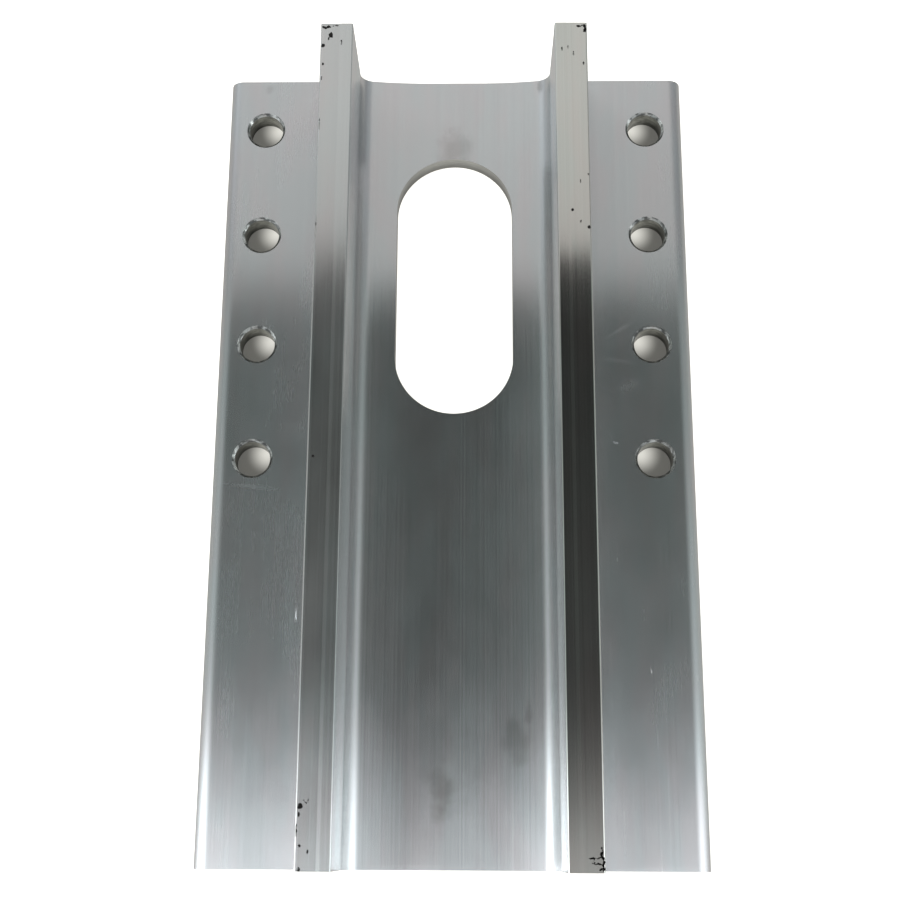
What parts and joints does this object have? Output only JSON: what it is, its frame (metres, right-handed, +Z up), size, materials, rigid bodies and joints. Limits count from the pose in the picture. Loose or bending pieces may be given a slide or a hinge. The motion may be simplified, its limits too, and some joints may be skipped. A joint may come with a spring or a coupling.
{
  "type": "ribbed aluminium mounting plate",
  "caption": "One-piece extruded aluminium plate with upright ribs along its length, a round-ended slot in the web between them and a row of bolt holes in each flange.",
  "frame": {"origin": "middle of the flat underside", "axes": "+Z up from the underside to the rib tops, +Y along the length towards the end with the slot and the bolt holes, +X across the plate"},
  "size_m": [0.1524, 0.257, 0.0433],
  "materials": {
    "extruded_aluminium": "satin mill finish with fine die lines along the length"
  },
  "bodies": {
    "root": {"ribbed_plate": "extruded_aluminium"}
  },
  "joints": []
}
